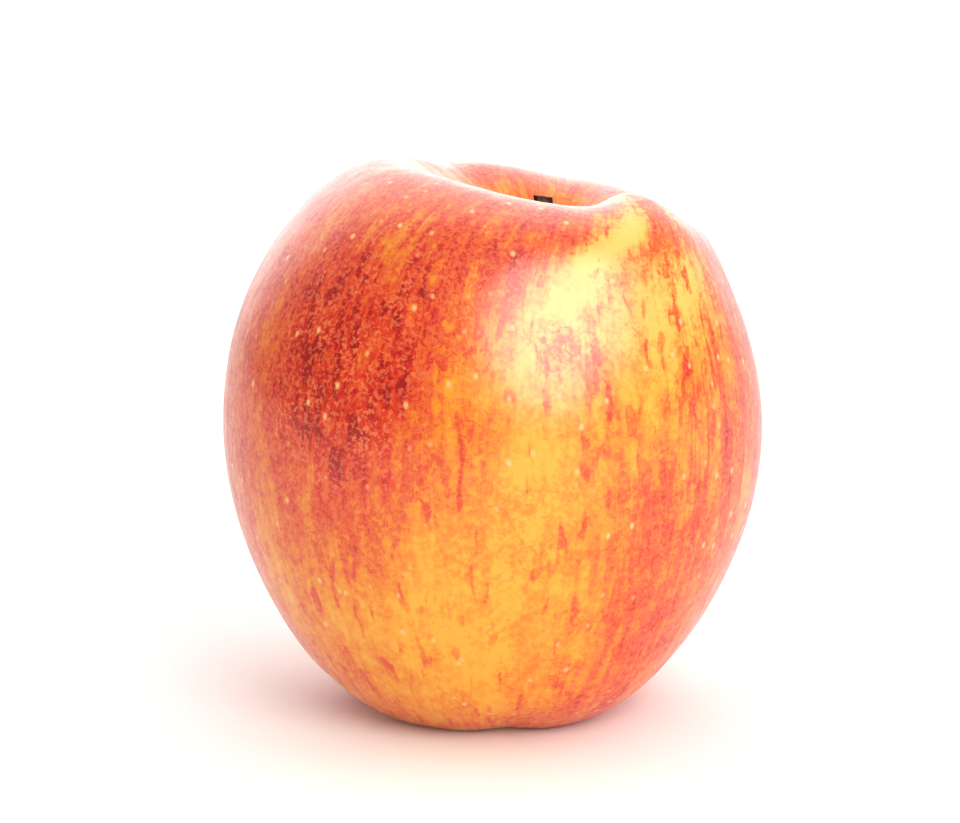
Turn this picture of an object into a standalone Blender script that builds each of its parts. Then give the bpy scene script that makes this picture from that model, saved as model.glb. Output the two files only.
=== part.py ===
"""A picked apple that rests on its eye end: the fruit, its stem, and the dried flower in the eye.

Metres, +Z up. The origin is the middle of the whole outline, on the surface that the fruit rests on, and
-Y is the front. The fruit is a lathed outline, raised into knobs and pressed into grooves at both ends, with
its stem hollow pushed to one side. It stands on the flat patches where the knobs round the eye touch down.
"""

import math

import bmesh
import bpy
from mathutils import Matrix, Vector

MM = 0.001

# The lathed outline of the fruit, as (radius, height) in millimetres.
STEM_HOLLOW = ((2.5, 59.0), (4.4, 61.4), (7.2, 65.6), (10.8, 70.8))
SHOULDER = ((15.4, 73.6), (20.8, 73.9), (26.5, 71.2), (31.6, 64.6))
CHEEK = ((35.9, 54.2), (37.8, 42.4), (37.0, 31.5))
FLANK = ((33.7, 20.4), (28.3, 9.8), (23.8, 4.2))
KNOB = ((18.0, 0.3), (13.2, -0.5), (9.6, 0.7))
EYE_HOLLOW = ((6.9, 4.0), (4.7, 7.6), (2.4, 9.4))
STEM_SOCKET_RADIUS = 1.9
STEM_SOCKET_FLOOR = 57.2
EYE_TUBE_RADIUS = 1.6
EYE_TUBE_FLOOR = 12.0
OUTLINE_STEP = 3.6
FRUIT_SIDES = 56

# Heights and radii, in millimetres, between which the stem end and the eye end take hold of the shape.
WAIST = 34.0
RIM_HEIGHT = 73.0
RIM_RADIUS = 15.4
HOLLOW_FLOOR_RADIUS = 4.0
EYE_REACH = 30.0
EYE_FLOOR_RADIUS = 4.5

# The stem hollow sits off the middle, and its rim slopes down to the same side.
HOLLOW_SHIFT = Vector((7.0, 0.5))
RIM_SLOPE = Vector((-0.18, -0.02))

# How far the hollow's wall lies outwards of a round one, and with a minus sign inwards: direction in degrees,
# distance in millimetres, half-width in degrees. The move starts, is full and ends at the radii that follow.
HOLLOW_WALL = ((10, -4.5, 48), (180, 3.0, 50))
HOLLOW_WALL_START = 2.0
HOLLOW_WALL_FULL = 14.0
HOLLOW_WALL_END = 30.0

# Knobs and the grooves between them: direction in degrees, rise in millimetres, half-width in degrees.
SHOULDER_RELIEF = (
    (-90, -0.8, 36),
    (-44, 2.5, 17),
    (6, -2.7, 26),
    (82, -0.6, 18),
    (136, -1.0, 16),
    (174, 0.3, 26),
)
EYE_RELIEF = ((-84, -0.6, 15), (-14, -1.7, 18), (58, -1.2, 17), (128, -1.4, 17), (-160, -0.7, 14))
RELIEF_OUTWARD = 0.5

# The dried stem: its path as offsets from the middle of the hollow, with heights, and its radii.
STEM_PATH = (
    (0.0, 0.0, 57.5),
    (0.1, 0.0, 60.3),
    (0.3, 0.2, 64.0),
    (0.4, 0.6, 68.0),
    (0.1, 1.0, 71.0),
    (-0.1, 1.1, 72.3),
)
STEM_RADII = (1.5, 1.15, 0.95, 1.0, 1.3, 1.4)
STEM_SIDES = 20
STEM_STEP = 1.3

# One dried sepal, as (distance from the eye's axis, height) from root to tip, and its half-widths.
SEPAL_COUNT = 5
SEPAL_PATH = ((3.1, 8.1), (2.3, 6.9), (2.1, 5.5), (2.6, 4.2), (3.6, 3.3), (4.5, 3.4))
SEPAL_HALF_WIDTHS = (1.15, 1.3, 1.2, 1.0, 0.6, 0.2)
SEPAL_THICKNESS = 0.35
SEPAL_ACROSS = 4
SEPAL_ALONG = 12
SEPAL_CUP = 0.28
FIRST_SEPAL_DIRECTION = 20

# The dried stamens between the sepals, as a turned bundle of (radius, height).
TUFT_OUTLINE = (
    (0.0, 11.6),
    (0.8, 11.6),
    (1.1, 10.4),
    (0.85, 8.6),
    (0.75, 6.6),
    (1.0, 4.9),
    (0.8, 4.5),
    (0.0, 4.7),
)
TUFT_SIDES = 16

# Edges where the surface turns by more than this many degrees stay sharp.
SHARP_ANGLE = 50
MERGE_DISTANCE = 1e-4


def clear_scene():
    """Removes whatever the scene starts with."""
    for thing in list(bpy.data.objects):
        bpy.data.objects.remove(thing, do_unlink=True)


def smoothstep(low, high, value):
    """0 at low, 1 at high, and a smooth change between them."""
    share = min(1.0, max(0.0, (value - low) / (high - low)))
    return share * share * (3.0 - 2.0 * share)


def curve_through(points, step):
    """Points about a step apart on a smooth curve through the given points (centripetal Catmull-Rom)."""
    knots = [Vector(point) for point in points]
    knots = [2 * knots[0] - knots[1], *knots, 2 * knots[-1] - knots[-2]]
    found = []
    for before, start, end, after in zip(knots, knots[1:], knots[2:], knots[3:]):
        t1 = math.sqrt((start - before).length)
        t2 = t1 + math.sqrt((end - start).length)
        t3 = t2 + math.sqrt((after - end).length)
        count = max(2, round((end - start).length / step))
        for i in range(count):
            t = t1 + (t2 - t1) * i / count
            a1 = before.lerp(start, t / t1)
            a2 = start.lerp(end, (t - t1) / (t2 - t1))
            a3 = end.lerp(after, (t - t2) / (t3 - t2))
            b1 = a1.lerp(a2, t / t2)
            b2 = a2.lerp(a3, (t - t1) / (t3 - t1))
            found.append(b1.lerp(b2, (t - t1) / (t2 - t1)))
    return [*found, knots[-2]]


def fruit_outline():
    """The outline from the stem socket's floor, over shoulder and cheek, to the eye tube's floor."""
    skin = curve_through((*STEM_HOLLOW, *SHOULDER, *CHEEK, *FLANK, *KNOB, *EYE_HOLLOW), OUTLINE_STEP)
    socket = [Vector((0.0, STEM_SOCKET_FLOOR)), Vector((STEM_SOCKET_RADIUS, STEM_SOCKET_FLOOR))]
    tube = [Vector((EYE_TUBE_RADIUS, EYE_TUBE_FLOOR)), Vector((0.0, EYE_TUBE_FLOOR))]
    return [*socket, *skin, *tube]


def relief_rise(relief, azimuth):
    """How far the knobs stand out, or the grooves lie back, in this direction, in millimetres."""
    rise = 0.0
    for direction, most, half_width in relief:
        off = (azimuth - math.radians(direction) + math.pi) % math.tau - math.pi
        rise += most * math.exp(-((off / math.radians(half_width)) ** 2))
    return rise


def raise_knobs(point, outward, radius):
    """Gives a point of the lathed fruit the knobs and grooves of both ends."""
    azimuth = math.atan2(outward.y, outward.x)
    stem_end = smoothstep(WAIST, RIM_HEIGHT, point.z) * smoothstep(HOLLOW_FLOOR_RADIUS, RIM_RADIUS, radius)
    eye_end = smoothstep(EYE_REACH, 0.0, point.z) * smoothstep(EYE_FLOOR_RADIUS, KNOB[1][0], radius)
    shoulder = relief_rise(SHOULDER_RELIEF, azimuth) * stem_end
    eye = relief_rise(EYE_RELIEF, azimuth) * eye_end
    point += outward * RELIEF_OUTWARD * (shoulder + eye)
    point.z -= eye * smoothstep(FLANK[0][0], KNOB[0][0], radius)
    point.z += shoulder * smoothstep(CHEEK[0][0], RIM_RADIUS, radius)


def lean_stem_end(point, outward, radius):
    """Pushes the stem hollow to one side, slopes its rim and moves its wall in or out."""
    share = smoothstep(CHEEK[0][0], RIM_RADIUS, radius)
    point.z += share * RIM_SLOPE.dot(point.xy)
    point.xy += share * HOLLOW_SHIFT
    wall = smoothstep(HOLLOW_WALL_START, HOLLOW_WALL_FULL, radius)
    wall *= smoothstep(HOLLOW_WALL_END, HOLLOW_WALL_FULL, radius)
    point += outward * wall * relief_rise(HOLLOW_WALL, math.atan2(outward.y, outward.x))


def grow(vertex):
    """Moves a vertex of the lathed fruit to where it grew."""
    point = vertex.co
    radius = point.xy.length
    outward = point.xy.normalized().to_3d()
    above_waist = point.z > WAIST
    raise_knobs(point, outward, radius)
    if above_waist:
        lean_stem_end(point, outward, radius)
    point.z = max(point.z, 0.0)


def lathed(outline, sides):
    """A closed bmesh turned from an outline whose first and last points are on the axis."""
    bm = bmesh.new()
    verts = [bm.verts.new((point.x, 0.0, point.y)) for point in outline]
    edges = [bm.edges.new(pair) for pair in zip(verts, verts[1:])]
    bmesh.ops.spin(bm, geom=[*verts, *edges], axis=(0, 0, 1), steps=sides, angle=math.tau, use_merge=True)
    bmesh.ops.remove_doubles(bm, verts=bm.verts, dist=MERGE_DISTANCE)
    bmesh.ops.recalc_face_normals(bm, faces=bm.faces)
    return bm


def finished_object(name, bm, colour, roughness):
    """Makes a bmesh in millimetres into a smooth-shaded object with a material of its own."""
    bmesh.ops.transform(bm, matrix=Matrix.Scale(MM, 4), verts=bm.verts)
    mesh = bpy.data.meshes.new(name)
    bm.to_mesh(mesh)
    bm.free()
    mesh.shade_smooth()
    mesh.set_sharp_from_angle(angle=math.radians(SHARP_ANGLE))
    material = bpy.data.materials.new(name)
    material.use_nodes = True
    surface = material.node_tree.nodes["Principled BSDF"]
    surface.inputs["Base Color"].default_value = (*colour, 1.0)
    surface.inputs["Roughness"].default_value = roughness
    surface.inputs["Metallic"].default_value = 0.0
    mesh.materials.append(material)
    made = bpy.data.objects.new(name, mesh)
    bpy.context.scene.collection.objects.link(made)
    return made


def make_fruit():
    """The fruit, with its stem socket open at the top and its eye tube open at the bottom."""
    bm = lathed(fruit_outline(), FRUIT_SIDES)
    for vertex in bm.verts:
        grow(vertex)
    return finished_object("fruit", bm, (0.78, 0.2, 0.06), 0.3)


def along(points, share):
    """The point at this share of the way along evenly spaced points, and the same for plain numbers."""
    place = share * (len(points) - 1)
    index = min(int(place), len(points) - 2)
    rest = place - index
    return points[index] * (1.0 - rest) + points[index + 1] * rest


def make_stem():
    """The stem: a dried rod that bends as it rises out of its socket, with a thicker broken-off tip."""
    middle = HOLLOW_SHIFT.to_3d()
    path = [middle + point for point in curve_through(STEM_PATH, STEM_STEP)]
    bm = bmesh.new()
    loops = []
    for i, point in enumerate(path):
        heading = path[min(i + 1, len(path) - 1)] - path[max(i - 1, 0)]
        turn = heading.to_track_quat("Z", "Y").to_matrix().to_4x4()
        radius = along(STEM_RADII, i / (len(path) - 1))
        ring = bmesh.ops.create_circle(
            bm, segments=STEM_SIDES, radius=radius, matrix=Matrix.Translation(point) @ turn
        )["verts"]
        loops.append(list({edge for vert in ring for edge in vert.link_edges}))
    for lower, upper in zip(loops, loops[1:]):
        bmesh.ops.bridge_loops(bm, edges=[*lower, *upper])
    bmesh.ops.holes_fill(bm, edges=[*loops[0], *loops[-1]], sides=STEM_SIDES)
    bmesh.ops.recalc_face_normals(bm, faces=bm.faces)
    return finished_object("stem", bm, (0.09, 0.05, 0.025), 0.8)


def sepal_mesh():
    """The mesh that the five dried sepals share: a cupped, pointed leaf, root up and tip curled outwards."""
    path = curve_through(SEPAL_PATH, math.inf)
    bm = bmesh.new()
    bmesh.ops.create_grid(bm, x_segments=SEPAL_ACROSS, y_segments=SEPAL_ALONG, size=1.0)
    for vertex in bm.verts:
        across = vertex.co.x
        share = (vertex.co.y + 1.0) / 2.0
        spot = along(path, share)
        half_width = along(SEPAL_HALF_WIDTHS, share)
        vertex.co = (spot.x - SEPAL_CUP * half_width * across * across, half_width * across, spot.y)
    bm.normal_update()
    bmesh.ops.solidify(bm, geom=bm.faces, thickness=SEPAL_THICKNESS)
    return finished_object("sepal_1", bm, (0.2, 0.12, 0.06), 0.9).data


def make_sepals():
    """Five sepals round the eye's axis."""
    mesh = sepal_mesh()
    sepals = [bpy.data.objects["sepal_1"]]
    for i in range(1, SEPAL_COUNT):
        sepal = bpy.data.objects.new(f"sepal_{i + 1}", mesh)
        bpy.context.scene.collection.objects.link(sepal)
        sepals.append(sepal)
    for i, sepal in enumerate(sepals):
        sepal.rotation_euler.z = math.radians(FIRST_SEPAL_DIRECTION) + math.tau * i / SEPAL_COUNT


def make_stamen_tuft():
    """The dried stamens, one bundle that reaches from the eye tube down between the sepals."""
    outline = [Vector(point) for point in TUFT_OUTLINE]
    bm = lathed(outline, TUFT_SIDES)
    return finished_object("stamen_tuft", bm, (0.14, 0.08, 0.04), 0.9)


def main():
    """Builds the apple."""
    clear_scene()
    make_fruit()
    make_stem()
    make_sepals()
    make_stamen_tuft()


main()
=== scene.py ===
"""The looks of one ripe apple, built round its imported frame.

The fruit is turned from an outline and then grown: knobs and grooves at both ends, a stem hollow that sits to
one side, and flat patches where it touches the surface. Its skin, stem, sepals and stamens each have a class.
A piece's lengths are in millimetres until it is fitted to the frame, in metres. The studio's are in metres.
"""

import logging
import math
import random
from dataclasses import dataclass
from enum import Enum

import bmesh
import bpy
from mathutils import Matrix, Vector, noise


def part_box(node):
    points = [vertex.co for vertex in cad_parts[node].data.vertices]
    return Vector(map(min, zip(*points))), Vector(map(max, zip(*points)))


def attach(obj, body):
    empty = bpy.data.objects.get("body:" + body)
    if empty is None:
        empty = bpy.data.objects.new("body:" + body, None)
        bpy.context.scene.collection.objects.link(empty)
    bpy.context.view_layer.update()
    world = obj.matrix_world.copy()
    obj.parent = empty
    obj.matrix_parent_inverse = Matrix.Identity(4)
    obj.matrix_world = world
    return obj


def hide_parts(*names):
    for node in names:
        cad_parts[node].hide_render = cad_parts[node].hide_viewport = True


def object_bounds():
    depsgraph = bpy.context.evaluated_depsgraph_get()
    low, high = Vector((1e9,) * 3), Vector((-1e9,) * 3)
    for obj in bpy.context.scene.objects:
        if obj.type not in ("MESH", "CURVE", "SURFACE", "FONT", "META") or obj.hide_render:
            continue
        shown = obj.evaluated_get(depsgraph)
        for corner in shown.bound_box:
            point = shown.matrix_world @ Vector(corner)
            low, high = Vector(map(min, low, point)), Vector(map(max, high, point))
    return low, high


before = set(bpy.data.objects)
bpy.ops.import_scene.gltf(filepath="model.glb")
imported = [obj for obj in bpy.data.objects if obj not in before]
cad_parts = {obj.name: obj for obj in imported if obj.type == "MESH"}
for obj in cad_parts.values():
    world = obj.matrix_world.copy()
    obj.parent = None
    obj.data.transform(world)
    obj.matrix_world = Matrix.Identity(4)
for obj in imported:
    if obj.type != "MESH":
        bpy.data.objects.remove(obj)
cad_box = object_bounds()

log = logging.getLogger("apple")

BODY = "root"

Socket = bpy.types.NodeSocket


class Slot(Enum):
    """The record's material slots."""

    SKIN = "skin"
    STEM = "dried_stem"
    SEPAL = "dried_sepal"
    STAMENS = "dried_stamens"


class Along(Enum):
    """How a value between stations is found."""

    STRAIGHT = "straight"
    SMOOTH = "smooth"


# --- Shape helpers ---


def smoothstep(low: float, high: float, value: float) -> float:
    """Rise smoothly from 0 at low to 1 at high.

    Args:
        low: Where the rise starts. It may be above high, for a fall.
        high: Where the rise ends.
        value: The place to look at.

    Returns:
        A share between 0 and 1.
    """
    share = min(1.0, max(0.0, (value - low) / (high - low)))
    return share * share * (3.0 - 2.0 * share)


def angle_between(first: float, second: float) -> float:
    """Return the signed turn in radians from the second direction to the first, by the shorter way."""
    return (first - second + math.pi) % math.tau - math.pi


def curve_through(points: tuple, step: float) -> list[Vector]:
    """Find points about a step apart on a smooth curve (centripetal Catmull-Rom).

    Args:
        points: The knots that the curve passes through.
        step: The distance between the points found. Each stretch has at least two.

    Returns:
        The points from the first knot to the last.
    """
    knots = [Vector(point) for point in points]
    knots = [2 * knots[0] - knots[1], *knots, 2 * knots[-1] - knots[-2]]
    found = []
    for before, start, end, after in zip(knots, knots[1:], knots[2:], knots[3:]):
        t1 = math.sqrt((start - before).length)
        t2 = t1 + math.sqrt((end - start).length)
        t3 = t2 + math.sqrt((after - end).length)
        count = max(2, round((end - start).length / step))
        for i in range(count):
            t = t1 + (t2 - t1) * i / count
            a1 = before.lerp(start, t / t1)
            a2 = start.lerp(end, (t - t1) / (t2 - t1))
            a3 = end.lerp(after, (t - t2) / (t3 - t2))
            b1 = a1.lerp(a2, t / t2)
            b2 = a2.lerp(a3, (t - t1) / (t3 - t1))
            found.append(b1.lerp(b2, (t - t1) / (t2 - t1)))
    return [*found, knots[-2]]


def between(values: tuple | list, share: float, way: Along = Along.STRAIGHT) -> float | Vector:
    """Read a value from evenly spaced stations.

    Args:
        values: The number or the point at each station.
        share: How far along the stations to read, 0 to 1.
        way: Whether the value changes straight or smoothly from station to station.

    Returns:
        The value there.
    """
    place = share * (len(values) - 1)
    index = min(int(place), len(values) - 2)
    rest = place - index
    if way is Along.SMOOTH:
        rest = smoothstep(0.0, 1.0, rest)
    return values[index] * (1.0 - rest) + values[index + 1] * rest


def sweep(bm: bmesh.types.BMesh, path: list[Vector], radii: list[float], sides: int) -> None:
    """Add a closed tube along a path.

    Args:
        bm: The mesh that takes the tube.
        path: The middle of the tube.
        radii: The tube's radius at each point of the path.
        sides: How many sides its rings have.
    """
    loops = []
    for i, point in enumerate(path):
        heading = path[min(i + 1, len(path) - 1)] - path[max(i - 1, 0)]
        turn = heading.to_track_quat("Z", "Y").to_matrix().to_4x4()
        place = Matrix.Translation(point) @ turn
        ring = bmesh.ops.create_circle(bm, segments=sides, radius=radii[i], matrix=place)["verts"]
        loops.append(list({edge for vert in ring for edge in vert.link_edges}))
    for lower, upper in zip(loops, loops[1:]):
        bmesh.ops.bridge_loops(bm, edges=[*lower, *upper])
    bmesh.ops.holes_fill(bm, edges=[*loops[0], *loops[-1]], sides=sides)


def finished(name: str, bm: bmesh.types.BMesh, material: bpy.types.Material) -> bpy.types.Object:
    """Make a mesh in metres into a smooth object at the origin.

    Args:
        name: The piece's name.
        bm: The mesh, which this frees.
        material: What the piece is made of.

    Returns:
        The new object.
    """
    mesh = bpy.data.meshes.new(name)
    bm.to_mesh(mesh)
    bm.free()
    mesh.shade_smooth()
    mesh.materials.append(material)
    piece = bpy.data.objects.new(name, mesh)
    bpy.context.scene.collection.objects.link(piece)
    return piece


def hand_over(piece: bpy.types.Object, nodes: list[str]) -> None:
    """Attach a finished piece to the body, hide the frame's nodes that it stands for, and log it.

    Args:
        piece: The finished piece.
        nodes: The frame's nodes that it stands for.
    """
    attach(piece, BODY)
    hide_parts(*nodes)
    log.info("%s: %d faces, stands for %s", piece.name, len(piece.data.polygons), ", ".join(nodes))


# --- Materials ---


def linear(red: int, green: int, blue: int) -> tuple[float, float, float, float]:
    """Turn a colour in 0 to 255 display values into the linear colour that a shader takes."""
    shares = (value / 255.0 for value in (red, green, blue))
    return (*(s / 12.92 if s <= 0.04045 else ((s + 0.055) / 1.055) ** 2.4 for s in shares), 1.0)


class Recipe:
    """A node material in the making, with one short method for each kind of node it uses."""

    def __init__(self, name: str) -> None:
        """Start a material that has only a Principled shader.

        Args:
            name: The material's name.
        """
        self.material = bpy.data.materials.new(name)
        self.material.use_nodes = True
        self.tree = self.material.node_tree
        self.shader = self.tree.nodes["Principled BSDF"]

    def put(self, socket: Socket, value: object) -> None:
        """Link a socket to an output, or set it to a plain value.

        Args:
            socket: The input to set.
            value: An output, or a number, vector or colour.
        """
        if isinstance(value, Socket):
            self.tree.links.new(value, socket)
        else:
            socket.default_value = value

    def object_place(self) -> Socket:
        """Return the place on the piece, in metres."""
        return self.tree.nodes.new("ShaderNodeTexCoord").outputs["Object"]

    def attribute(self, name: str, output: str = "Fac") -> Socket:
        """Return one of the mesh's own attributes.

        Args:
            name: The attribute's name.
            output: Which of its outputs to read.

        Returns:
            The attribute's value.
        """
        node = self.tree.nodes.new("ShaderNodeAttribute")
        node.attribute_name = name
        return node.outputs[output]

    def stretched(self, place: Socket, scale: tuple[float, float, float]) -> Socket:
        """Return a place scaled by a different amount along each axis.

        Args:
            place: The place to scale.
            scale: The factor along each axis.

        Returns:
            The scaled place.
        """
        node = self.tree.nodes.new("ShaderNodeMapping")
        node.inputs["Scale"].default_value = scale
        self.put(node.inputs["Vector"], place)
        return node.outputs["Vector"]

    def grain(self, place: Socket, scale: float, detail: float, rough: float, warp: float) -> Socket:
        """Return cloudy noise.

        Args:
            place: Where on the piece it is read.
            scale: How many clouds there are to a unit of place.
            detail: How many finer layers it has.
            rough: How strong the finer layers are.
            warp: How far the noise twists itself.

        Returns:
            The noise, about 0.5 on average.
        """
        node = self.tree.nodes.new("ShaderNodeTexNoise")
        self.put(node.inputs["Vector"], place)
        node.inputs["Scale"].default_value = scale
        node.inputs["Detail"].default_value = detail
        node.inputs["Roughness"].default_value = rough
        node.inputs["Distortion"].default_value = warp
        return node.outputs["Fac"]

    def cells(self, place: Socket, scale: float) -> bpy.types.Node:
        """Return a node of scattered points: Distance to the nearest, and its own random Color.

        Args:
            place: Where on the piece it is read.
            scale: How many points there are to a unit of place.

        Returns:
            The node, for its outputs.
        """
        node = self.tree.nodes.new("ShaderNodeTexVoronoi")
        self.put(node.inputs["Vector"], place)
        node.inputs["Scale"].default_value = scale
        return node

    def sum_of(self, first: object, *others: object) -> Socket:
        """Return the sum of numbers."""
        return self._chain("ADD", first, others)

    def product(self, first: object, *others: object) -> Socket:
        """Return the product of numbers."""
        return self._chain("MULTIPLY", first, others)

    def _chain(self, operation: str, first: object, others: tuple) -> Socket:
        """Return numbers combined one after another by a Math node each.

        Args:
            operation: The Math nodes' operation.
            first: The first number.
            others: The numbers that follow.

        Returns:
            The result.
        """
        result = first
        for other in others:
            node = self.tree.nodes.new("ShaderNodeMath")
            node.operation = operation
            self.put(node.inputs[0], result)
            self.put(node.inputs[1], other)
            result = node.outputs[0]
        return result

    def swing(self, value: Socket, amount: float) -> Socket:
        """Return noise about 0.5 as a swing about 0, so that it adds as much as it takes away.

        Args:
            value: The noise.
            amount: How far it swings from end to end.

        Returns:
            The swing.
        """
        node = self.tree.nodes.new("ShaderNodeMath")
        node.operation = "MULTIPLY_ADD"
        self.put(node.inputs[0], value)
        node.inputs[1].default_value = amount
        node.inputs[2].default_value = -0.5 * amount
        return node.outputs[0]

    def step(
        self, value: object, low: float, high: float, bottom: float = 0.0, top: float = 1.0
    ) -> Socket:
        """Return a smooth change from bottom at low to top at high, where low may be above high.

        Args:
            value: What the change follows.
            low: Where it starts.
            high: Where it ends.
            bottom: The result up to low.
            top: The result from high on.

        Returns:
            The changing value.
        """
        node = self.tree.nodes.new("ShaderNodeMapRange")
        node.interpolation_type = "SMOOTHSTEP"
        self.put(node.inputs["Value"], value)
        for name, setting in (("From Min", low), ("From Max", high), ("To Min", bottom), ("To Max", top)):
            node.inputs[name].default_value = setting
        return node.outputs["Result"]

    def ramp(self, value: Socket, stops: tuple) -> Socket:
        """Return colours laid along a value, from (place, colour) stops.

        Args:
            value: What the colours follow.
            stops: The stops, in rising order.

        Returns:
            The colour.
        """
        node = self.tree.nodes.new("ShaderNodeValToRGB")
        elements = node.color_ramp.elements
        elements[0].position, elements[0].color = stops[0]
        elements[1].position, elements[1].color = stops[-1]
        for place, colour in stops[1:-1]:
            elements.new(place).color = colour
        self.put(node.inputs["Fac"], value)
        return node.outputs["Color"]

    def blend(self, share: object, first: object, second: object) -> Socket:
        """Return the first colour, with the second over it by a share.

        Args:
            share: How much of the second shows, 0 to 1.
            first: The colour underneath.
            second: The colour on top.

        Returns:
            The blended colour.
        """
        node = self.tree.nodes.new("ShaderNodeMix")
        node.data_type = "RGBA"
        self.put(node.inputs["Factor"], share)
        self.put(node.inputs[6], first)
        self.put(node.inputs[7], second)
        return node.outputs[2]

    def bumps(self, height: Socket, depth: float, strength: float) -> None:
        """Raise the surface by a height.

        Args:
            height: The relief, 0 to 1.
            depth: How far 1 stands above 0, in metres.
            strength: How much of the relief shows.
        """
        node = self.tree.nodes.new("ShaderNodeBump")
        node.inputs["Strength"].default_value = strength
        node.inputs["Distance"].default_value = depth
        self.put(node.inputs["Height"], height)
        self.put(self.shader.inputs["Normal"], node.outputs["Normal"])

    def finish(self, colour: object, roughness: object, **constants: float) -> bpy.types.Material:
        """Set the shader and return the material.

        Args:
            colour: The base colour.
            roughness: The roughness.
            **constants: Other shader sockets, their names in lower case with underscores.

        Returns:
            The finished material.
        """
        self.put(self.shader.inputs["Base Color"], colour)
        self.put(self.shader.inputs["Roughness"], roughness)
        for name, value in constants.items():
            self.shader.inputs[name.replace("_", " ").title().replace("Ior", "IOR")].default_value = value
        return self.material


@dataclass(frozen=True)
class Layer:
    """A layer of noise in a finish. It shows from the noise's low value, and is full from its high one."""

    scale: float = 1.0
    stretch: tuple = (1.0, 1.0, 1.0)
    detail: float = 3.0
    rough: float = 0.6
    warp: float = 0.0
    low: float = 0.36
    high: float = 0.64
    most: float = 1.0
    amount: float = 1.0

    def bare(self, r: Recipe, place: Socket) -> Socket:
        """Return the noise itself at each place, about 0.5 on average."""
        return r.grain(r.stretched(place, self.stretch), self.scale, self.detail, self.rough, self.warp)

    def shown(self, r: Recipe, place: Socket) -> Socket:
        """Return how far the layer shows at each place, from 0 to its most."""
        return r.step(self.bare(r, place), self.low, self.high, 0.0, self.most)


@dataclass(frozen=True)
class Stroke:
    """Short strokes where the fleck noise passes from one value to the other, in skin of a certain blush."""

    fleck: tuple
    blush: tuple
    amount: float

    def drawn(self, r: Recipe, fleck: Socket, blush: Socket) -> Socket:
        """Return how much redness the strokes add at each place, or with a negative amount take away."""
        return r.product(r.step(fleck, *self.fleck), r.step(blush, *self.blush, 0.0, self.amount))


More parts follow.
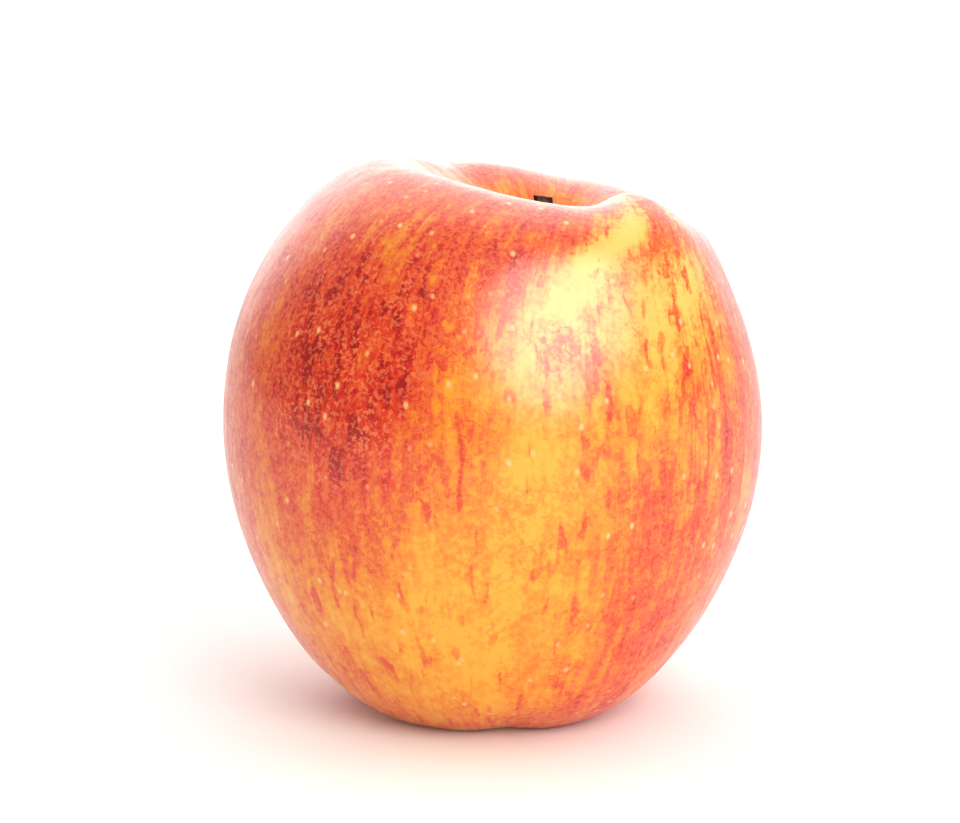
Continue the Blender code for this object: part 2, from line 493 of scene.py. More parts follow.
@dataclass(frozen=True)
class WaxedSkin:
    """Ripe skin: red streaks and stipple over a gold ground, with pale pores under a thin coat of wax.

    Each layer's amount is the redness that it adds. A fade is the low and the high end of a smooth change,
    and where it has four numbers the last two are its strength at either end.
    """

    lemon: tuple = linear(247, 174, 52)
    gold: tuple = linear(243, 151, 40)
    amber: tuple = linear(237, 126, 36)
    coral: tuple = linear(228, 92, 33)
    red: tuple = linear(222, 60, 26)
    crimson: tuple = linear(200, 36, 20)
    wine: tuple = linear(166, 20, 16)
    salmon: tuple = linear(240, 122, 74)
    # cream is the skin's own pale band, and also painted highlight round the glint's highlight and painted
    # reflection along the front lip and right shoulder
    cream_and_highlight: tuple = linear(252, 212, 112)
    pore: tuple = linear(253, 196, 128)
    russet: tuple = linear(206, 140, 44)

    broad_streak: Layer = Layer(stretch=(0.17, 0.17, 0.03), rough=0.55, amount=0.18)
    long_streak: Layer = Layer(stretch=(0.5, 0.5, 0.03), rough=0.55, low=0.46, amount=0.4)
    streak: Layer = Layer(stretch=(0.8, 0.8, 0.11), low=0.38, high=0.66, amount=0.2)
    fleck: Layer = Layer(stretch=(0.55, 0.55, 0.2), detail=1.0, rough=0.4, warp=0.3)
    mottle: Layer = Layer(scale=420.0, warp=0.5, amount=0.12)
    cloud: Layer = Layer(scale=170.0, detail=2.0, rough=0.5, amount=0.14)
    stipple: Layer = Layer(scale=1250.0, detail=2.0, rough=0.65, warp=0.8, low=0.34, high=0.66, amount=0.26)
    salmon_speckle: Layer = Layer(scale=1600.0, detail=2.0, warp=0.4, low=0.47, high=0.63, most=0.7)

    broad_fade: tuple = (0.0, 0.5, 0.5, 1.0)
    streak_fade: tuple = (0.0, 0.6, 0.45, 1.0)
    stipple_fade: tuple = (0.0, 0.6, 0.75, 1.0)
    stipple_in_cloud: tuple = (0.0, 1.0, 0.75, 1.15)
    salmon_speckle_fade: tuple = (0.32, 0.68)
    salmon_speckle_in_cloud: tuple = (0.0, 1.0, 1.2, 0.7)
    pale_and_highlight_fade: tuple = (0.5, 0.1)
    russet_fade: tuple = (0.0, 0.8)
    tan_strokes: Stroke = Stroke(fleck=(0.595, 0.68), blush=(0.6, 0.2), amount=0.25)
    pale_strokes: Stroke = Stroke(fleck=(0.42, 0.3), blush=(0.35, 0.7), amount=-0.2)
    maroon_strokes: Stroke = Stroke(fleck=(0.57, 0.68), blush=(0.5, 0.75), amount=0.3)

    pore_cells_per_m: float = 400.0
    pore_stretch: tuple = (1.0, 1.0, 0.72)
    pore_chance: tuple = (0.25, 0.75)
    pore_spread: float = 0.05
    pore_radius: float = 0.16
    pore_strength: float = 0.9
    pore_weight: tuple = (0.0, 0.8, 0.3, 1.0)

    pore_relief: float = 0.4
    mottle_relief: float = 0.5
    stipple_relief: float = 0.5
    relief_depth: float = 0.00006
    relief_strength: float = 0.7
    roughness: tuple = (0.0, 1.0, 0.4, 0.5)

    def material(self) -> bpy.types.Material:
        """Return the skin's material."""
        r = Recipe("waxed_skin")
        place = r.object_place()
        mottle = self.mottle.shown(r, place)
        cloud = self.cloud.shown(r, place)
        stipple = self.stipple.shown(r, place)
        salmon_speckle = self.salmon_speckle.shown(r, place)
        pores = self.pores(r, place)
        density = self.density(r, mottle, cloud, stipple)
        # Salmon speckles over the denser red.
        salmon_speckled = r.product(salmon_speckle, r.step(density, *self.salmon_speckle_fade), r.step(cloud, *self.salmon_speckle_in_cloud))
        colour = r.blend(salmon_speckled, self.ground(r, density), self.salmon)
        # Cream laid over the skin: partly its own pale band, partly painted highlight round the glint's
        # highlight and painted reflection along the front lip and right shoulder.
        pale_and_highlight_share = r.product(r.attribute("pale_and_painted_highlight"), r.step(density, *self.pale_and_highlight_fade))
        colour = r.blend(pale_and_highlight_share, colour, self.cream_and_highlight)
        russeted = r.product(r.attribute("russet"), r.step(mottle, *self.russet_fade))
        colour = r.blend(russeted, colour, self.russet)
        colour = r.blend(pores, colour, self.pore)
        relief = r.sum_of(
            r.product(pores, self.pore_relief),
            r.product(mottle, self.mottle_relief),
            r.product(stipple, self.stipple_relief),
        )
        r.bumps(relief, self.relief_depth, self.relief_strength)
        return r.finish(
            colour,
            r.step(mottle, *self.roughness),
            specular_ior_level=0.16,
            coat_weight=0.7,
            coat_roughness=0.25,
            coat_ior=1.48,
            sheen_weight=0.04,
            sheen_roughness=0.35,
        )

    def density(self, r: Recipe, mottle: Socket, cloud: Socket, stipple: Socket) -> Socket:
        """Return how dense the red is, from the blush, streaks, strokes and grain.

        Args:
            r: The recipe that the nodes go into.
            mottle: The mottle's layer.
            cloud: The cloud's layer.
            stipple: The stipple's layer.

        Returns:
            The density, 0 for gold to 1 for dark red.
        """
        growth = r.attribute("growth", "Vector")
        blush = r.attribute("blush")
        broad = r.swing(self.broad_streak.shown(r, growth), self.broad_streak.amount)
        streaks = r.swing(self.streak.shown(r, growth), self.streak.amount)
        dots = r.swing(stipple, self.stipple.amount)
        fleck = self.fleck.bare(r, growth)
        return r.sum_of(
            blush,
            r.product(broad, r.step(blush, *self.broad_fade)),
            r.product(streaks, r.step(blush, *self.streak_fade)),
            r.product(self.long_streak.shown(r, growth), r.attribute("streaky"), self.long_streak.amount),
            r.swing(mottle, self.mottle.amount),
            r.swing(cloud, self.cloud.amount),
            r.product(dots, r.step(blush, *self.stipple_fade), r.step(cloud, *self.stipple_in_cloud)),
            self.tan_strokes.drawn(r, fleck, blush),
            self.pale_strokes.drawn(r, fleck, blush),
            self.maroon_strokes.drawn(r, fleck, blush),
        )

    def ground(self, r: Recipe, density: Socket) -> Socket:
        """Return the skin's own colour for a density of red.

        Args:
            r: The recipe that the nodes go into.
            density: The density, 0 to 1.

        Returns:
            The colour, before salmon speckle, cream (partly painted highlight), russet and pores.
        """
        return r.ramp(
            density,
            (
                (0.0, self.lemon),
                (0.18, self.gold),
                (0.36, self.amber),
                (0.5, self.coral),
                (0.68, self.red),
                (0.86, self.crimson),
                (1.0, self.wine),
            ),
        )

    def pores(self, r: Recipe, place: Socket) -> Socket:
        """Return where the pale pores are, each with a size and a strength of its own.

        Args:
            r: The recipe that the nodes go into.
            place: The place on the skin.

        Returns:
            How strongly a pore shows there.
        """
        cells = r.cells(r.stretched(place, self.pore_stretch), self.pore_cells_per_m)
        chance = r.step(cells.outputs["Color"], *self.pore_chance)
        distance = r.sum_of(cells.outputs["Distance"], r.product(chance, -self.pore_spread))
        spot = r.step(distance, self.pore_radius, 0.0, 0.0, self.pore_strength)
        return r.product(spot, r.step(chance, *self.pore_weight))


@dataclass(frozen=True)
class DriedBark:
    """The stem's bark, dried brown and nearly black at its broken tip."""

    dark: tuple = linear(38, 24, 16)
    brown: tuple = linear(104, 70, 38)
    tan: tuple = linear(168, 126, 70)
    black: tuple = linear(22, 14, 10)
    ridge: Layer = Layer(stretch=(2600.0, 2600.0, 320.0), detail=4.0, rough=0.65)
    fleck: Layer = Layer(scale=1800.0)
    blackened: tuple = (0.62, 0.48)
    fleck_relief: float = 0.4
    relief_depth: float = 0.00018
    relief_strength: float = 0.8
    roughness: tuple = (0.2, 0.8, 0.7, 0.9)

    def material(self) -> bpy.types.Material:
        """Return the bark's material."""
        r = Recipe("dried_bark")
        place = r.object_place()
        ridges = self.ridge.bare(r, place)
        flecks = self.fleck.bare(r, place)
        colour = r.ramp(ridges, ((0.32, self.dark), (0.52, self.brown), (0.7, self.tan)))
        charred = r.product(r.attribute("tip"), r.step(flecks, *self.blackened))
        colour = r.blend(charred, colour, self.black)
        relief = r.sum_of(ridges, r.product(flecks, self.fleck_relief))
        r.bumps(relief, self.relief_depth, self.relief_strength)
        return r.finish(colour, r.step(flecks, *self.roughness), specular_ior_level=0.2)


@dataclass(frozen=True)
class DriedLeaf:
    """A sepal's dry, woolly skin."""

    dark: tuple = linear(58, 38, 22)
    brown: tuple = linear(122, 88, 50)
    wool: tuple = linear(196, 176, 132)
    blotch: Layer = Layer(scale=900.0)
    fibre: Layer = Layer(stretch=(1500.0, 1500.0, 6000.0), rough=0.7)
    woolly: tuple = (0.55, 0.72, 0.0, 0.7)
    relief_depth: float = 0.00012
    relief_strength: float = 0.7
    roughness: float = 0.88

    def material(self) -> bpy.types.Material:
        """Return the sepal's material."""
        r = Recipe("dried_leaf")
        place = r.object_place()
        fibres = self.fibre.bare(r, place)
        colour = r.ramp(self.blotch.bare(r, place), ((0.35, self.dark), (0.62, self.brown)))
        colour = r.blend(r.step(fibres, *self.woolly), colour, self.wool)
        r.bumps(fibres, self.relief_depth, self.relief_strength)
        return r.finish(colour, self.roughness, sheen_weight=0.35)


@dataclass(frozen=True)
class DriedStamen:
    """The stamens' dry threads, brown with darker patches."""

    thread: tuple = linear(120, 84, 46)
    dark: tuple = linear(44, 28, 18)
    patch: Layer = Layer(scale=2200.0)
    relief_depth: float = 0.00008
    relief_strength: float = 0.6
    roughness: float = 0.85

    def material(self) -> bpy.types.Material:
        """Return the stamens' material."""
        r = Recipe("dried_stamen")
        patches = self.patch.bare(r, r.object_place())
        colour = r.ramp(patches, ((0.35, self.dark), (0.65, self.thread)))
        r.bumps(patches, self.relief_depth, self.relief_strength)
        return r.finish(colour, self.roughness)


# --- The fruit ---


@dataclass(frozen=True)
class Relief:
    """A knob that stands out of the fruit, or with a negative rise a groove that lies back in it."""

    direction: float
    rise: float
    half_width: float

    def at(self, azimuth: float) -> float:
        """Return the rise in millimetres in a direction in radians."""
        off = angle_between(azimuth, math.radians(self.direction))
        return self.rise * math.exp(-((off / math.radians(self.half_width)) ** 2))


@dataclass(frozen=True)
class Patch:
    """A soft patch of the skin that has more of something, or with a negative strength less."""

    direction: float
    height: float
    half_width: float
    half_height: float
    strength: float

    def at(self, azimuth: float, height: float) -> float:
        """Return how much the patch adds at a place.

        Args:
            azimuth: The place's direction, in radians.
            height: Its height on the turned fruit.

        Returns:
            The amount, strongest at the patch's middle.
        """
        aside = angle_between(azimuth, math.radians(self.direction)) / math.radians(self.half_width)
        above = (height - self.height) / self.half_height
        return self.strength * math.exp(-(aside**2 + above**2))


def together(patches: tuple, azimuth: float, height: float) -> float:
    """Return what some patches add up to, in a direction in radians and at a height."""
    return sum(patch.at(azimuth, height) for patch in patches)


@dataclass(frozen=True)
class Growth:
    """How the turned fruit grew out of round."""

    waist: float = 34.0
    rim_height: float = 73.0
    rim_radius: float = 15.4
    hollow_floor_radius: float = 4.0
    eye_reach: float = 30.0
    eye_floor_radius: float = 4.5
    cheek_radius: float = 35.9
    flank_radius: float = 33.7
    knob_outer_radius: float = 18.0
    knob_radius: float = 13.2
    relief_outward: float = 0.5
    wall_start: float = 2.0
    wall_full: float = 14.0
    wall_end: float = 30.0
    wall: tuple = (Relief(10, -4.5, 48), Relief(180, 3.0, 50))
    hollow_shift: tuple = (7.0, 0.5)
    rim_slope: tuple = (-0.18, -0.02)
    shoulder: tuple = (
        Relief(-90, -0.8, 36),
        Relief(-44, 2.5, 17),
        Relief(6, -2.7, 26),
        Relief(82, -0.6, 18),
        Relief(136, -1.0, 16),
        Relief(174, 0.3, 26),
    )
    eye: tuple = (
        Relief(-84, -0.6, 15),
        Relief(-14, -1.7, 18),
        Relief(58, -1.2, 17),
        Relief(128, -1.4, 17),
        Relief(-160, -0.7, 14),
    )

    def grow(self, point: Vector) -> Vector:
        """Return where a point of the turned fruit ends up.

        Args:
            point: The point on the turned fruit.

        Returns:
            The point with knobs, grooves, the off-centre hollow and the flat patches.
        """
        radius = point.xy.length
        outward = point.xy.normalized().to_3d()
        azimuth = math.atan2(point.y, point.x)
        stem_end = smoothstep(self.waist, self.rim_height, point.z)
        stem_end *= smoothstep(self.hollow_floor_radius, self.rim_radius, radius)
        eye_end = smoothstep(self.eye_reach, 0.0, point.z)
        eye_end *= smoothstep(self.eye_floor_radius, self.knob_radius, radius)
        shoulder = stem_end * sum(relief.at(azimuth) for relief in self.shoulder)
        eye = eye_end * sum(relief.at(azimuth) for relief in self.eye)
        grown = point + outward * self.relief_outward * (shoulder + eye)
        grown.z -= eye * smoothstep(self.flank_radius, self.knob_outer_radius, radius)
        grown.z += shoulder * smoothstep(self.cheek_radius, self.rim_radius, radius)
        if point.z > self.waist:
            share = smoothstep(self.cheek_radius, self.rim_radius, radius)
            grown.z += share * Vector(self.rim_slope).dot(grown.xy)
            grown.xy += share * Vector(self.hollow_shift)
            wall = smoothstep(self.wall_start, self.wall_full, radius)
            wall *= smoothstep(self.wall_end, self.wall_full, radius)
            grown += outward * wall * sum(relief.at(azimuth) for relief in self.wall)
        grown.z = max(grown.z, 0.0)
        return grown


@dataclass
class Fruit:
    """The fruit itself: one closed skin with the stem's socket at the top and the eye's tube underneath."""

    outline: tuple = (
        (1.75, 58.4),
        (2.7, 59.3),
        (4.4, 61.4),
        (7.2, 65.6),
        (10.8, 70.8),
        (15.4, 73.6),
        (20.8, 73.9),
        (26.5, 71.2),
        (31.6, 64.6),
        (35.9, 54.2),
        (37.8, 42.4),
        (37.0, 31.5),
        (33.7, 20.4),
        (28.3, 9.8),
        (23.8, 4.2),
        (18.0, 0.3),
        (13.2, -0.5),
        (9.6, 0.7),
        (6.9, 4.0),
        (4.7, 7.6),
        (2.4, 9.4),
    )
    socket: tuple = ((0.0, 57.2), (1.65, 57.2))
    eye_tube: tuple = ((1.6, 12.0), (0.0, 12.0))
    outline_step: float = 0.58
    sides: int = 300
    widest: float = 38.0
    merge_distance: float = 1e-4
    growth: Growth = Growth()
    swells: tuple = ((0.12, 0.07, 0.0), (0.04, 0.21, 9.0))
    flat_height: float = 0.3
    redness: float = 0.64
    hollow_gold: float = 0.5
    hollow_gold_radii: tuple = (17.0, 7.0)
    eye_gold: float = 0.35
    eye_gold_radii: tuple = (20.0, 8.0)
    eye_russet: float = 0.5
    eye_russet_radii: tuple = (6.0, 3.0)
    hollow_russet: float = 0.85
    russet_reach: float = 6.5
    russet_rays: float = 4.0
    russet_ray_scale: float = 3.1
    russet_edge: tuple = (1.5, -2.5)
    patches: tuple = (
        Patch(-85, 42, 25, 15, -0.43),
        Patch(-98, 15, 32, 19, -0.59),
        Patch(-92, 56, 12, 7, -0.3),
        Patch(-55, 71.3, 5, 1.8, -0.6),
        Patch(-62, 69.6, 5, 2.2, -0.6),
        Patch(-69, 67, 5, 2.6, -0.6),
        Patch(-75, 63.5, 6, 3, -0.5),
        Patch(-50, 54, 22, 11, -0.4),
        Patch(-40, 63, 13, 7, -0.34),
        Patch(-36, 32, 18, 20, -0.2),
        Patch(-118, 54, 20, 13, 0.24),
        # lighter red across the top-left shoulder: partly the skin's colour, partly painted light from above
        Patch(-112, 70, 30, 4.5, -0.14),
        Patch(-130, 44, 22, 11, 0.08),
        # less red along the front lip, under the painted reflection there
        Patch(-46, 73, 20, 2, -0.2),
        Patch(-92, 70, 16, 4, 0.08),
        Patch(-140, 20, 25, 16, -0.28),
        Patch(-150, 52, 16, 14, -0.1),
        Patch(64, 32, 34, 22, -0.4),
        Patch(130, 52, 34, 18, 0.2),
    )
    streaky: tuple = (
        Patch(-36, 38, 22, 26, 0.8),
        Patch(20, 44, 30, 22, 0.5),
        Patch(-106, 46, 20, 18, 0.3),
        Patch(160, 30, 40, 22, 0.45),
    )
    # Where the skin is paler and creamier. The diagonal band below the rim and the patch at the back are the
    # skin's own colour; the patches along the front lip, round the glint's highlight and on the right
    # shoulder are painted reflection and painted highlight.
    pale_and_painted_highlight: tuple = (
        # painted reflection along the front lip
        Patch(-46, 73.5, 18, 2, 0.6),
        Patch(-58, 70.8, 6, 2, 0.5),
        Patch(-67, 68, 6, 3, 0.5),
        # painted highlight round the glint's highlight
        Patch(-76, 60, 12, 8, 0.45),
        Patch(-52, 60, 14, 8, 0.3),
        # painted reflection on the right shoulder
        Patch(-42, 65, 14, 6, 0.5),
        Patch(70, 50, 24, 14, 0.4),
    )

    def build(self) -> bmesh.types.BMesh:
        """Turn the outline, store what the skin's finish reads, and grow the fruit.

        Returns:
            The fruit's mesh, in millimetres.
        """
        bm = bmesh.new()
        length = bm.verts.layers.float.new("length")
        self.turn(bm, length)
        blush = bm.verts.layers.float.new("blush")
        russet = bm.verts.layers.float.new("russet")
        streaky = bm.verts.layers.float.new("streaky")
        pale_and_painted_highlight = bm.verts.layers.float.new("pale_and_painted_highlight")
        growth = bm.verts.layers.float_vector.new("growth")
        for vert in bm.verts:
            azimuth = math.atan2(vert.co.y, vert.co.x)
            radius = vert.co.xy.length
            height = vert.co.z
            around = Vector((math.cos(azimuth), math.sin(azimuth), 0.0)) * self.widest
            vert[growth] = around + Vector((0.0, 0.0, vert[length]))
            vert[blush] = self.blush(azimuth, radius, height)
            vert[russet] = self.russet(azimuth, radius, height)
            vert[streaky] = together(self.streaky, azimuth, height)
            vert[pale_and_painted_highlight] = together(self.pale_and_painted_highlight, azimuth, height)
        for vert in bm.verts:
            vert.co = self.growth.grow(vert.co)
        self.roughen(bm, growth)
        return bm

    def turn(self, bm: bmesh.types.BMesh, length: object) -> None:
        """Spin the outline into a closed skin, with the distance along the outline kept on each vertex.

        Args:
            bm: The mesh that takes the skin.
            length: The layer that takes the distance.
        """
        points = [Vector(p) for p in self.socket]
        points += curve_through(self.outline, self.outline_step)
        points += [Vector(p) for p in self.eye_tube]
        verts = []
        walked = 0.0
        for before, point in zip([points[0], *points], points):
            walked += (point - before).length
            vert = bm.verts.new((point.x, 0.0, point.y))
            vert[length] = walked
            verts.append(vert)
        edges = [bm.edges.new(pair) for pair in zip(verts, verts[1:])]
        bmesh.ops.spin(
            bm, geom=[*verts, *edges], axis=(0, 0, 1), steps=self.sides, angle=math.tau, use_merge=True
        )
        bmesh.ops.remove_doubles(bm, verts=bm.verts, dist=self.merge_distance)
        bmesh.ops.recalc_face_normals(bm, faces=bm.faces)

    def blush(self, azimuth: float, radius: float, height: float) -> float:
        """Return how red the skin is at a place on the turned fruit, before streaks.

        Args:
            azimuth: The place's direction, in radians.
            radius: Its distance from the axis.
            height: Its height.

        Returns:
            The redness, about 0 for gold to 1 for dark red.
        """
        red = self.redness + together(self.patches, azimuth, height)
        if height > self.growth.waist:
            return red - self.hollow_gold * smoothstep(*self.hollow_gold_radii, radius)
        return red - self.eye_gold * smoothstep(*self.eye_gold_radii, radius)

    def russet(self, azimuth: float, radius: float, height: float) -> float:
        """Return how much the skin has turned to brown russet, which spreads out of the hollow in rays.

        Args:
            azimuth: The place's direction, in radians.
            radius: Its distance from the axis.
            height: Its height.

        Returns:
            A share between 0 and 1.
        """
        if height < self.growth.waist:
            return self.eye_russet * smoothstep(*self.eye_russet_radii, radius)
        rays = noise.noise(Vector((math.cos(azimuth), math.sin(azimuth), 0.0)) * self.russet_ray_scale)
        reach = self.russet_reach + self.russet_rays * rays
        edge = [reach + offset for offset in self.russet_edge]
        return self.hollow_russet * smoothstep(*edge, radius)

    def roughen(self, bm: bmesh.types.BMesh, growth: object) -> None:
        """Give the grown skin its faint unevenness, except where it rests.

        Args:
            bm: The grown skin.
            growth: The layer that holds each vertex's place for the noise.
        """
        bm.normal_update()
        moves = []
        for vert in bm.verts:
            swell = sum(
                rise * noise.noise(vert[growth] * scale + Vector((offset, 0.0, 0.0)))
                for rise, scale, offset in self.swells
            )
            moves.append(vert.normal * swell)
        for vert, move in zip(bm.verts, moves):
            if vert.co.z > self.flat_height:
                vert.co += move


# --- Stem, sepals and stamens ---


@dataclass
class Stem:
    """The short dried stem, thicker at its root and at its broken tip."""

    path: tuple = (
        (0.0, 0.0, 57.5),
        (0.1, 0.0, 60.3),
        (0.3, 0.2, 64.0),
        (0.4, 0.6, 68.0),
        (0.1, 1.0, 71.0),
        (-0.1, 1.1, 72.3),
    )
    radii: tuple = (1.5, 1.15, 0.95, 1.0, 1.3, 1.35)
    sides: int = 40
    step: float = 0.22
    ridge: float = 0.09
    ridge_scale: tuple = (1.6, 1.6, 0.22)
    fine_ridge: float = 0.5
    fine_ridge_scale: float = 2.7
    end_ridge: float = 1.4
    end_height: float = 70.5
    tip_heights: tuple = (68.5, 71.5)
    tip_insets: tuple = ((0.25, -0.12), (0.35, 0.2), (0.3, 0.15))
    tip_drop: float = 0.35
    tip_slope: float = 0.3

    def build(self, middle: Vector) -> bmesh.types.BMesh:
        """Sweep the stem and carve its ridges.

        Args:
            middle: Where the middle of the hollow is.

        Returns:
            The stem's mesh, in millimetres.
        """
        path = [middle + point for point in curve_through(self.path, self.step)]
        last = len(path) - 1
        radii = [between(self.radii, i / last, Along.SMOOTH) for i in range(last + 1)]
        bm = bmesh.new()
        sweep(bm, path, radii, self.sides)
        bmesh.ops.recalc_face_normals(bm, faces=bm.faces)
        tip = bm.verts.layers.float.new("tip")
        end = max(bm.faces, key=lambda face: face.calc_center_median().z)
        for size, drop in self.tip_insets:
            bmesh.ops.inset_region(bm, faces=[end], thickness=size, depth=-drop)
        bmesh.ops.poke(bm, faces=[end])
        bm.normal_update()
        moves = []
        for vert in bm.verts:
            place = vert.co - middle
            lean = place * Vector(self.ridge_scale)
            fine = self.fine_ridge * noise.noise(lean * self.fine_ridge_scale)
            bump = self.ridge * (noise.noise(lean) + fine)
            moves.append(vert.normal * bump * (self.end_ridge if place.z > self.end_height else 1.0))
            vert[tip] = smoothstep(*self.tip_heights, place.z)
        for vert, move in zip(bm.verts, moves):
            vert.co += move
            vert.co.z -= (self.tip_drop + self.tip_slope * (vert.co.x - middle.x)) * vert[tip]
        return bm


@dataclass
class Sepal:
    """One dried sepal of the eye, cupped along its middle, with its tip curled outwards."""

    path: tuple = ((3.1, 8.1), (2.3, 6.9), (2.1, 5.5), (2.6, 4.2), (3.6, 3.3), (4.5, 3.4))
    half_widths: tuple = (1.15, 1.3, 1.2, 1.0, 0.6, 0.16)
    thickness: float = 0.22
    cup: float = 0.28
    crumple: float = 0.16
    crumple_scale: tuple = (1.3, 5.0, 7.0)
    step: float = 0.25
    across: int = 10
    along: int = 36

    def build(self, direction: float, seed: int) -> bmesh.types.BMesh:
        """Bend a grid into a sepal, give it thickness and turn it to its place.

        Args:
            direction: Where round the eye's axis the sepal stands, in radians.
            seed: Which of the sepals this is, so that each curls its own way.

        Returns:
            The sepal's mesh, in millimetres.
        """
        line = curve_through(self.path, self.step)
        bm = bmesh.new()
        bmesh.ops.create_grid(bm, x_segments=self.across, y_segments=self.along, size=1.0)
        for vert in bm.verts:
            across = vert.co.x
            share = (vert.co.y + 1.0) / 2.0
            spot = between(line, share)
            half = between(self.half_widths, share, Along.SMOOTH)
            place = Vector((across, share, seed)) * Vector(self.crumple_scale)
            inwards = self.cup * half * across * across - self.crumple * noise.noise(place)
            vert.co = (spot.x - inwards, half * across, spot.y)
        bm.normal_update()
        bmesh.ops.solidify(bm, geom=bm.faces, thickness=self.thickness)
        bmesh.ops.rotate(bm, verts=bm.verts, matrix=Matrix.Rotation(direction, 3, "Z"))
        return bm


@dataclass
class Calyx:
    """The five sepals, and the dried stamens in the tube between them."""

    sepal: Sepal
    count: int = 5
    first_direction: float = 20.0
    stamens: int = 16
    stamen_foot: float = 11.4
    stamen_length: float = 5.6
    stamen_radius: float = 0.11
    stamen_swell: tuple = (1.2, 1.0, 0.8, 0.9, 2.6, 1.2)
    stamen_bend: float = 0.25
    stamen_pinch: float = 0.7
    stamen_step: float = 0.3
    stamen_sides: int = 8
    seed: int = 5

    def directions(self) -> list[float]:
        """Return where the sepals stand round the axis, in radians."""
        return [math.radians(self.first_direction) + math.tau * i / self.count for i in range(self.count)]

    def build_stamens(self) -> bmesh.types.BMesh:
        """Return the mesh of all the stamens: bent threads with a small dry head each, in millimetres."""
        chance = random.Random(self.seed)
        bm = bmesh.new()
        for i in range(self.stamens):
            azimuth = math.tau * (i + chance.uniform(-0.3, 0.3)) / self.stamens
            outward = Vector((math.cos(azimuth), math.sin(azimuth), 0.0))
            foot = outward * chance.uniform(0.35, 1.05) + Vector((0.0, 0.0, self.stamen_foot))
            end = outward * chance.uniform(0.5, 1.35)
            end.z = self.stamen_foot - self.stamen_length * chance.uniform(0.8, 1.1)
            bend = [chance.uniform(-self.stamen_bend, self.stamen_bend) for _ in range(2)]
            middle = foot.lerp(end, 0.5) + Vector((*bend, 0.0))
            middle.xy *= self.stamen_pinch
            path = curve_through((foot, middle, end), self.stamen_step)
            last = len(path) - 1
            swells = [between(self.stamen_swell, i / last) for i in range(last + 1)]
            sweep(bm, path, [self.stamen_radius * swell for swell in swells], self.stamen_sides)
        bmesh.ops.recalc_face_normals(bm, faces=bm.faces)
        return bm


@dataclass
class Apple:
    """The whole apple, put together and fitted to the frame."""

    fruit: Fruit
    stem: Stem
    calyx: Calyx

    def make(self) -> None:
        """Build every piece, fit them all to the frame's fruit, and hand them over."""
        skin = self.fruit.build()
        fit = self.fit_to_frame(skin)
        skin.transform(fit)
        hand_over(finished("fruit_skin", skin, WaxedSkin().material()), ["fruit"])

        stem = self.stem.build(Vector(self.fruit.growth.hollow_shift).to_3d())
        stem.transform(fit)
        hand_over(finished("dried_stem", stem, DriedBark().material()), ["stem"])

        leaf = DriedLeaf().material()
        for i, direction in enumerate(self.calyx.directions()):
            sepal = self.calyx.sepal.build(direction, i)
            sepal.transform(fit)
            hand_over(finished(f"dried_sepal_{i + 1}", sepal, leaf), [f"sepal_{i + 1}"])

        stamens = self.calyx.build_stamens()
        stamens.transform(fit)
        hand_over(finished("dried_stamens", stamens, DriedStamen().material()), ["stamen_tuft"])

    def fit_to_frame(self, skin: bmesh.types.BMesh) -> Matrix:
        """Return the move and scale that lay the grown fruit's box on the frame's fruit.

        Args:
            skin: The grown fruit's mesh.

        Returns:
            The matrix that takes millimetres into the frame.
        """
        low, high = (Vector(corner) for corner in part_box("fruit"))
        lowest = Vector([min(vert.co[i] for vert in skin.verts) for i in range(3)])
        highest = Vector([max(vert.co[i] for vert in skin.verts) for i in range(3)])
        scale = [(high[i] - low[i]) / (highest[i] - lowest[i]) for i in range(3)]
        grow = Matrix.Diagonal((*scale, 1.0))
        return Matrix.Translation(low - grow @ lowest) @ grow


# --- Studio ---


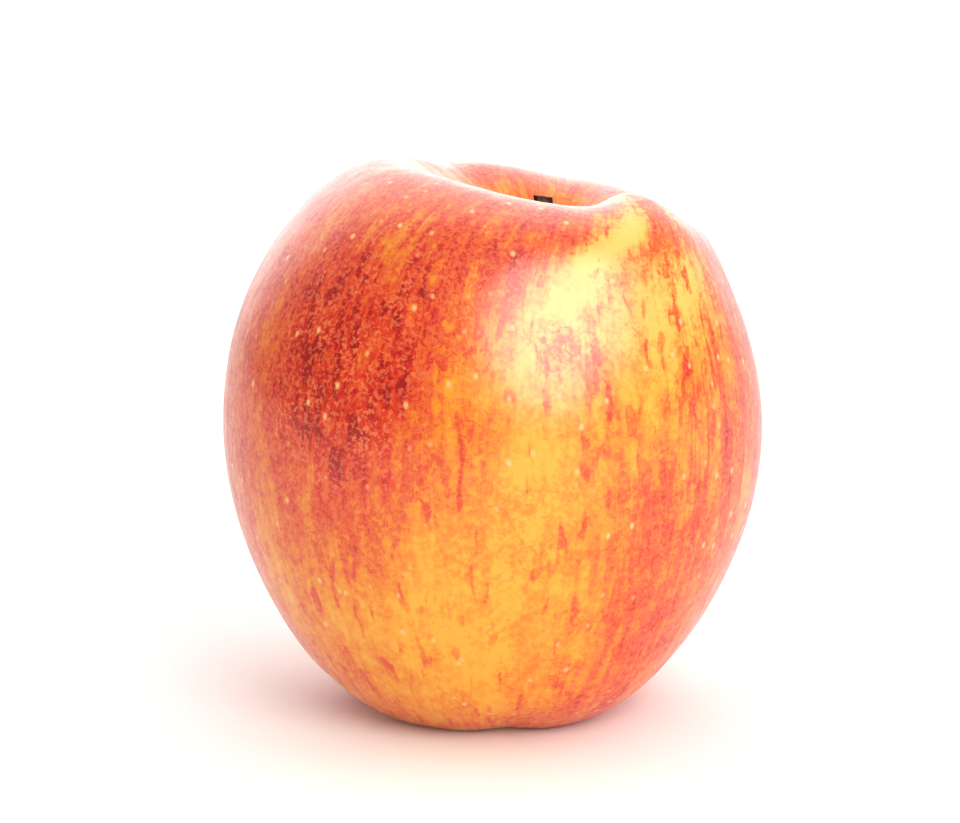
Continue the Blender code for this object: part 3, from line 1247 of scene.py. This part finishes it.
@dataclass(frozen=True)
class Studio:
    """A white sweep that is bright behind the apple, two large soft lights in front, and a long lens.

    The key lights the skin and the glint is what shines on it. Each has a fill of its own in the world, which
    grows from its front to its back strength between two places along the direction behind the apple.
    """

    floor_size: float = 4.0
    floor_colour: tuple = linear(253, 253, 249)
    floor_roughness: float = 0.9
    front_fill: tuple = (-0.4, 0.31)
    back_fill: tuple = (0.8, 1.5)
    front_glint: tuple = (0.4, 0.03)
    back_glint: tuple = (0.95, 3.0)
    behind: tuple = (0.0, 0.8, 0.6)
    behind_right: tuple = (0.3, 0.75, 0.59)
    light_distance: float = 0.8
    key_direction: tuple = (0.36, -0.74, 0.5)
    key_size: float = 0.5
    key_watts: float = 3.0
    glint_direction: tuple = (0.37, -0.74, 0.6)
    glint_watts: float = 12.5
    glint_size: float = 0.72
    elevation: float = math.radians(11.5)
    camera_distance: float = 0.45
    camera_right: float = -0.0018
    camera_target_height: float = 0.0417
    lens_mm: float = 120.0
    lens_clip_start: float = 0.01

    def set_up(self) -> None:
        """Lay the floor, hang the lights and place the camera."""
        self.floor()
        self.lights()
        self.camera()

    def floor(self) -> None:
        """Lay a plain white floor under the apple."""
        bm = bmesh.new()
        bmesh.ops.create_grid(bm, x_segments=1, y_segments=1, size=self.floor_size / 2)
        r = Recipe("white_sweep")
        white = r.finish(
            self.floor_colour, self.floor_roughness, specular_ior_level=0.2, emission_strength=0.03
        )
        r.shader.inputs["Emission Color"].default_value = self.floor_colour
        floor = finished("floor", bm, white)

    def lights(self) -> None:
        """Light the sweep from the world, and the apple from the upper right in front too."""
        world = bpy.data.worlds.new("studio")
        bpy.context.scene.world = world
        world.use_nodes = True
        tree = world.node_tree
        rays = tree.nodes.new("ShaderNodeLightPath")
        fill = self.towards(tree, self.behind_right, self.front_fill, self.back_fill)
        glint = self.towards(tree, self.behind, self.front_glint, self.back_glint)
        lit = self.either(tree, rays.outputs["Is Glossy Ray"], fill, glint)
        strength = self.either(tree, rays.outputs["Is Camera Ray"], lit, 1.0)
        background = tree.nodes["Background"]
        background.inputs["Color"].default_value = (1.0, 1.0, 1.0, 1.0)
        tree.links.new(strength, background.inputs["Strength"])
        key = self.soft_light("key", self.key_direction, self.key_size, self.key_watts)
        key.visible_glossy = False
        shine = self.soft_light("glint", self.glint_direction, self.glint_size, self.glint_watts)
        shine.visible_diffuse = False

    def soft_light(self, name: str, direction: tuple, size: float, watts: float) -> bpy.types.Object:
        """Hang a round soft light that faces the apple.

        Args:
            name: The light's name.
            direction: Where it hangs, seen from the apple.
            size: How wide it is, in metres.
            watts: Its power.

        Returns:
            The light.
        """
        light = bpy.data.lights.new(name, "AREA")
        light.shape = "DISK"
        light.size = size
        light.energy = watts
        lamp = bpy.data.objects.new(name, light)
        bpy.context.scene.collection.objects.link(lamp)
        facing = Vector(direction).normalized()
        low, high = (Vector(corner) for corner in cad_box)
        lamp.location = (low + high) / 2 + facing * self.light_distance
        lamp.rotation_euler = facing.to_track_quat("Z", "Y").to_euler()
        return lamp

    def towards(self, tree: bpy.types.NodeTree, direction: tuple, low: tuple, high: tuple) -> Socket:
        """Return a strength that changes smoothly towards a direction.

        Args:
            tree: The world's nodes.
            direction: The direction of the change, about one unit long.
            low: A place along the direction, -1 to 1, and the strength up to there.
            high: A place further along it, and the strength from there on.

        Returns:
            The strength seen in each direction.
        """
        along = tree.nodes.new("ShaderNodeVectorMath")
        along.operation = "DOT_PRODUCT"
        along.inputs[1].default_value = direction
        tree.links.new(tree.nodes.new("ShaderNodeTexCoord").outputs["Generated"], along.inputs[0])
        change = tree.nodes.new("ShaderNodeMapRange")
        change.interpolation_type = "SMOOTHSTEP"
        tree.links.new(along.outputs["Value"], change.inputs["Value"])
        for name, setting in zip(("From Min", "To Min", "From Max", "To Max"), (*low, *high)):
            change.inputs[name].default_value = setting
        return change.outputs["Result"]

    def either(self, tree: bpy.types.NodeTree, test: Socket, first: object, second: object) -> Socket:
        """Return the first strength where a test is 0, and the second where it is 1.

        Args:
            tree: The world's nodes.
            test: The test's output.
            first: A strength or an output.
            second: Likewise.

        Returns:
            The strength chosen.
        """
        node = tree.nodes.new("ShaderNodeMix")
        tree.links.new(test, node.inputs["Factor"])
        for name, value in (("A", first), ("B", second)):
            if isinstance(value, Socket):
                tree.links.new(value, node.inputs[name])
            else:
                node.inputs[name].default_value = value
        return node.outputs["Result"]

    def camera(self) -> None:
        """Look at the apple from the front, a little above level."""
        lens = bpy.data.cameras.new("camera")
        lens.lens = self.lens_mm
        lens.clip_start = self.lens_clip_start
        camera = bpy.data.objects.new("camera", lens)
        bpy.context.scene.collection.objects.link(camera)
        gaze = Vector((0.0, math.cos(self.elevation), -math.sin(self.elevation)))
        target = Vector((self.camera_right, 0.0, self.camera_target_height))
        camera.location = target - gaze * self.camera_distance
        camera.rotation_euler = gaze.to_track_quat("-Z", "Y").to_euler()
        bpy.context.scene.camera = camera
        bpy.context.scene.view_settings.view_transform = "Standard"


def main() -> None:
    """Build the apple and its studio."""
    logging.basicConfig(level=logging.INFO)
    Apple(fruit=Fruit(), stem=Stem(), calyx=Calyx(sepal=Sepal())).make()
    Studio().set_up()


if __name__ == "__main__":
    main()
